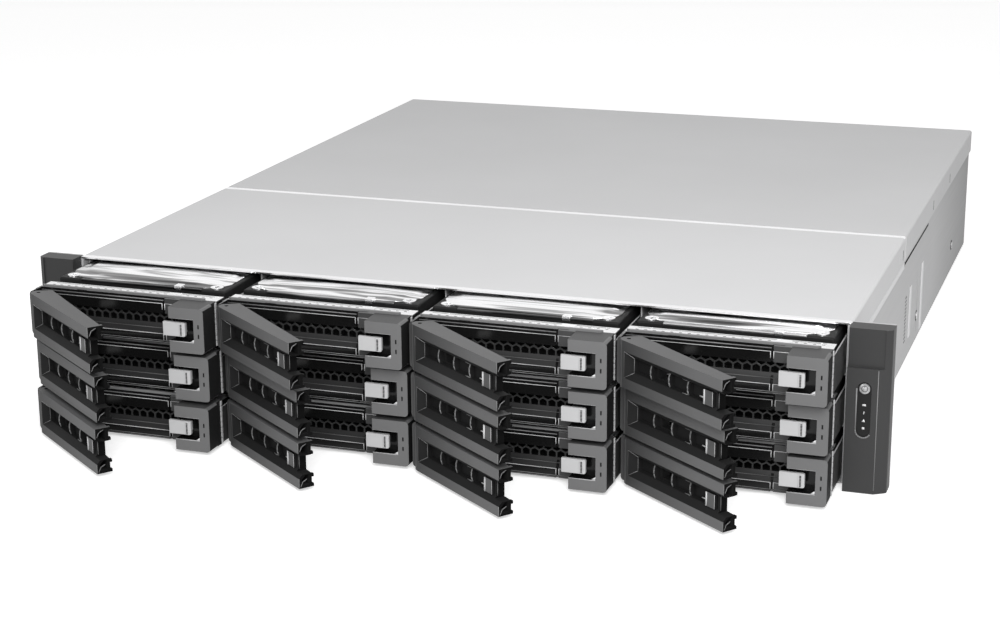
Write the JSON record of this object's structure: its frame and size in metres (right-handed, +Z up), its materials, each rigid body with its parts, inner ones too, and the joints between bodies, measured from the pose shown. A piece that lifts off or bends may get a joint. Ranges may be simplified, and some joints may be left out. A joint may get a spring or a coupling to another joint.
{
  "type": "rack storage server",
  "caption": "Two-unit rack storage server with hot-swap drive trays drawn out on slides, swing-out tray levers with latches, rack ears and plug-in power supplies.",
  "frame": {"origin": "centre of the underside of the chassis floor", "axes": "+X to the right seen from the front, +Y to the rear, +Z up"},
  "size_m": [0.4826, 0.6545, 0.086],
  "materials": {
    "zinc_steel": "zinc-coated sheet steel",
    "grey_paint": "fine light grey powder coat",
    "screw_steel": "plated thumb screws",
    "tray_metal": "tray: black moulded front, bright sled, cast drive",
    "tray_plastic": "fine-grained charcoal moulding",
    "latch_plastic": "satin light grey moulding",
    "ear_plastic": "fine-grained black moulding",
    "lens_plastic": "gloss black window",
    "button_metal": "bright turned cap",
    "circuit_board": "solder-masked board",
    "fan_plastic": "black moulding",
    "heatsink_metal": "extruded fins",
    "port_metal": "plated connector shells",
    "psu_metal": "zinc-coated casing",
    "psu_latch_plastic": "grey thumb slide"
  },
  "bodies": {
    "chassis": {"chassis_tub": "zinc_steel", "front_cover": "grey_paint", "rear_cover": "grey_paint", "rear_panel": "zinc_steel", "cover_screws": "screw_steel", "drive_cage": "zinc_steel", "backplane": "circuit_board", "fan_wall": "fan_plastic", "mainboard": "circuit_board", "cpu_heatsink": "heatsink_metal", "memory_modules": "circuit_board", "io_ports": "port_metal", "psu_cage": "zinc_steel", "left_ear": "ear_plastic", "right_ear": "ear_plastic", "status_lens": "lens_plastic"},
    "tray_01": {"tray_01": "tray_metal"},
    "lever_01": {"lever_01": "tray_plastic"},
    "latch_01": {"latch_01": "latch_plastic"},
    "tray_02": {"tray_02": "tray_metal"},
    "lever_02": {"lever_02": "tray_plastic"},
    "latch_02": {"latch_02": "latch_plastic"},
    "tray_03": {"tray_03": "tray_metal"},
    "lever_03": {"lever_03": "tray_plastic"},
    "latch_03": {"latch_03": "latch_plastic"},
    "tray_04": {"tray_04": "tray_metal"},
    "lever_04": {"lever_04": "tray_plastic"},
    "latch_04": {"latch_04": "latch_plastic"},
    "tray_05": {"tray_05": "tray_metal"},
    "lever_05": {"lever_05": "tray_plastic"},
    "latch_05": {"latch_05": "latch_plastic"},
    "tray_06": {"tray_06": "tray_metal"},
    "lever_06": {"lever_06": "tray_plastic"},
    "latch_06": {"latch_06": "latch_plastic"},
    "tray_07": {"tray_07": "tray_metal"},
    "lever_07": {"lever_07": "tray_plastic"},
    "latch_07": {"latch_07": "latch_plastic"},
    "tray_08": {"tray_08": "tray_metal"},
    "lever_08": {"lever_08": "tray_plastic"},
    "latch_08": {"latch_08": "latch_plastic"},
    "tray_09": {"tray_09": "tray_metal"},
    "lever_09": {"lever_09": "tray_plastic"},
    "latch_09": {"latch_09": "latch_plastic"},
    "tray_10": {"tray_10": "tray_metal"},
    "lever_10": {"lever_10": "tray_plastic"},
    "latch_10": {"latch_10": "latch_plastic"},
    "tray_11": {"tray_11": "tray_metal"},
    "lever_11": {"lever_11": "tray_plastic"},
    "latch_11": {"latch_11": "latch_plastic"},
    "tray_12": {"tray_12": "tray_metal"},
    "lever_12": {"lever_12": "tray_plastic"},
    "latch_12": {"latch_12": "latch_plastic"},
    "power_button": {"power_button": "button_metal"},
    "fan_rotor_1": {"fan_rotor_1": "fan_plastic"},
    "fan_rotor_2": {"fan_rotor_2": "fan_plastic"},
    "fan_rotor_3": {"fan_rotor_3": "fan_plastic"},
    "psu_1": {"psu_1": "psu_metal"},
    "psu_latch_1": {"psu_latch_1": "psu_latch_plastic"},
    "psu_2": {"psu_2": "psu_metal"},
    "psu_latch_2": {"psu_latch_2": "psu_latch_plastic"}
  },
  "joints": [
    {"name": "tray_01_slide", "type": "slide", "parent": "chassis", "child": "tray_01", "axis": [0, -1, 0], "range_m": [-0.0525, 0.0975]},
    {"name": "lever_01_hinge", "type": "hinge", "parent": "tray_01", "child": "lever_01", "pos_m": [-0.2101, -0.3199, 0.0694], "axis": [0, 0, -1], "range_deg": [-38, 0]},
    {"name": "latch_01_slide", "type": "slide", "parent": "tray_01", "child": "latch_01", "axis": [1, 0, 0], "range_m": [0, 0.003], "stiffness_N_per_m": 400},
    {"name": "tray_02_slide", "type": "slide", "parent": "chassis", "child": "tray_02", "axis": [0, -1, 0], "range_m": [-0.0455, 0.1045]},
    {"name": "lever_02_hinge", "type": "hinge", "parent": "tray_02", "child": "lever_02", "pos_m": [-0.1013, -0.3129, 0.0694], "axis": [0, 0, -1], "range_deg": [-38, 0]},
    {"name": "latch_02_slide", "type": "slide", "parent": "tray_02", "child": "latch_02", "axis": [1, 0, 0], "range_m": [0, 0.003], "stiffness_N_per_m": 400},
    {"name": "tray_03_slide", "type": "slide", "parent": "chassis", "child": "tray_03", "axis": [0, -1, 0], "range_m": [-0.0445, 0.1055]},
    {"name": "lever_03_hinge", "type": "hinge", "parent": "tray_03", "child": "lever_03", "pos_m": [0.0075, -0.3119, 0.0694], "axis": [0, 0, -1], "range_deg": [-38, 0]},
    {"name": "latch_03_slide", "type": "slide", "parent": "tray_03", "child": "latch_03", "axis": [1, 0, 0], "range_m": [0, 0.003], "stiffness_N_per_m": 400},
    {"name": "tray_04_slide", "type": "slide", "parent": "chassis", "child": "tray_04", "axis": [0, -1, 0], "range_m": [-0.038, 0.112]},
    {"name": "lever_04_hinge", "type": "hinge", "parent": "tray_04", "child": "lever_04", "pos_m": [0.1163, -0.3054, 0.0694], "axis": [0, 0, -1], "range_deg": [-38, 0]},
    {"name": "latch_04_slide", "type": "slide", "parent": "tray_04", "child": "latch_04", "axis": [1, 0, 0], "range_m": [0, 0.003], "stiffness_N_per_m": 400},
    {"name": "tray_05_slide", "type": "slide", "parent": "chassis", "child": "tray_05", "axis": [0, -1, 0], "range_m": [-0.049, 0.101]},
    {"name": "lever_05_hinge", "type": "hinge", "parent": "tray_05", "child": "lever_05", "pos_m": [-0.2101, -0.3164, 0.0418], "axis": [0, 0, -1], "range_deg": [-38, 0]},
    {"name": "latch_05_slide", "type": "slide", "parent": "tray_05", "child": "latch_05", "axis": [1, 0, 0], "range_m": [0, 0.003], "stiffness_N_per_m": 400},
    {"name": "tray_06_slide", "type": "slide", "parent": "chassis", "child": "tray_06", "axis": [0, -1, 0], "range_m": [-0.0385, 0.1115]},
    {"name": "lever_06_hinge", "type": "hinge", "parent": "tray_06", "child": "lever_06", "pos_m": [-0.1013, -0.3059, 0.0418], "axis": [0, 0, -1], "range_deg": [-38, 0]},
    {"name": "latch_06_slide", "type": "slide", "parent": "tray_06", "child": "latch_06", "axis": [1, 0, 0], "range_m": [0, 0.003], "stiffness_N_per_m": 400},
    {"name": "tray_07_slide", "type": "slide", "parent": "chassis", "child": "tray_07", "axis": [0, -1, 0], "range_m": [-0.0435, 0.1065]},
    {"name": "lever_07_hinge", "type": "hinge", "parent": "tray_07", "child": "lever_07", "pos_m": [0.0075, -0.3109, 0.0418], "axis": [0, 0, -1], "range_deg": [-38, 0]},
    {"name": "latch_07_slide", "type": "slide", "parent": "tray_07", "child": "latch_07", "axis": [1, 0, 0], "range_m": [0, 0.003], "stiffness_N_per_m": 400},
    {"name": "tray_08_slide", "type": "slide", "parent": "chassis", "child": "tray_08", "axis": [0, -1, 0], "range_m": [-0.0305, 0.1195]},
    {"name": "lever_08_hinge", "type": "hinge", "parent": "tray_08", "child": "lever_08", "pos_m": [0.1163, -0.2979, 0.0418], "axis": [0, 0, -1], "range_deg": [-38, 0]},
    {"name": "latch_08_slide", "type": "slide", "parent": "tray_08", "child": "latch_08", "axis": [1, 0, 0], "range_m": [0, 0.003], "stiffness_N_per_m": 400},
    {"name": "tray_09_slide", "type": "slide", "parent": "chassis", "child": "tray_09", "axis": [0, -1, 0], "range_m": [-0.0515, 0.0985]},
    {"name": "lever_09_hinge", "type": "hinge", "parent": "tray_09", "child": "lever_09", "pos_m": [-0.2101, -0.3189, 0.0142], "axis": [0, 0, -1], "range_deg": [-38, 0]},
    {"name": "latch_09_slide", "type": "slide", "parent": "tray_09", "child": "latch_09", "axis": [1, 0, 0], "range_m": [0, 0.003], "stiffness_N_per_m": 400},
    {"name": "tray_10_slide", "type": "slide", "parent": "chassis", "child": "tray_10", "axis": [0, -1, 0], "range_m": [-0.0385, 0.1115]},
    {"name": "lever_10_hinge", "type": "hinge", "parent": "tray_10", "child": "lever_10", "pos_m": [-0.1013, -0.3059, 0.0142], "axis": [0, 0, -1], "range_deg": [-38, 0]},
    {"name": "latch_10_slide", "type": "slide", "parent": "tray_10", "child": "latch_10", "axis": [1, 0, 0], "range_m": [0, 0.003], "stiffness_N_per_m": 400},
    {"name": "tray_11_slide", "type": "slide", "parent": "chassis", "child": "tray_11", "axis": [0, -1, 0], "range_m": [-0.043, 0.107]},
    {"name": "lever_11_hinge", "type": "hinge", "parent": "tray_11", "child": "lever_11", "pos_m": [0.0075, -0.3104, 0.0142], "axis": [0, 0, -1], "range_deg": [-38, 0]},
    {"name": "latch_11_slide", "type": "slide", "parent": "tray_11", "child": "latch_11", "axis": [1, 0, 0], "range_m": [0, 0.003], "stiffness_N_per_m": 400},
    {"name": "tray_12_slide", "type": "slide", "parent": "chassis", "child": "tray_12", "axis": [0, -1, 0], "range_m": [-0.0285, 0.1215]},
    {"name": "lever_12_hinge", "type": "hinge", "parent": "tray_12", "child": "lever_12", "pos_m": [0.1163, -0.2959, 0.0142], "axis": [0, 0, -1], "range_deg": [-38, 0]},
    {"name": "latch_12_slide", "type": "slide", "parent": "tray_12", "child": "latch_12", "axis": [1, 0, 0], "range_m": [0, 0.003], "stiffness_N_per_m": 400},
    {"name": "power_button_press", "type": "slide", "parent": "chassis", "child": "power_button", "axis": [0, 1, 0], "range_m": [0, 0.0008], "stiffness_N_per_m": 600},
    {"name": "fan_1_spin", "type": "hinge", "parent": "chassis", "child": "fan_rotor_1", "pos_m": [-0.17, -0.0499, 0.043], "axis": [0, 1, 0], "continuous": true},
    {"name": "fan_2_spin", "type": "hinge", "parent": "chassis", "child": "fan_rotor_2", "pos_m": [-0.072, -0.0499, 0.043], "axis": [0, 1, 0], "continuous": true},
    {"name": "fan_3_spin", "type": "hinge", "parent": "chassis", "child": "fan_rotor_3", "pos_m": [0.026, -0.0499, 0.043], "axis": [0, 1, 0], "continuous": true},
    {"name": "psu_1_slide", "type": "slide", "parent": "chassis", "child": "psu_1", "axis": [0, 1, 0], "range_m": [0, 0.18]},
    {"name": "psu_latch_1_slide", "type": "slide", "parent": "psu_1", "child": "psu_latch_1", "axis": [1, 0, 0], "range_m": [0, 0.003], "stiffness_N_per_m": 500},
    {"name": "psu_2_slide", "type": "slide", "parent": "chassis", "child": "psu_2", "axis": [0, 1, 0], "range_m": [0, 0.18]},
    {"name": "psu_latch_2_slide", "type": "slide", "parent": "psu_2", "child": "psu_latch_2", "axis": [1, 0, 0], "range_m": [0, 0.003], "stiffness_N_per_m": 500}
  ]
}
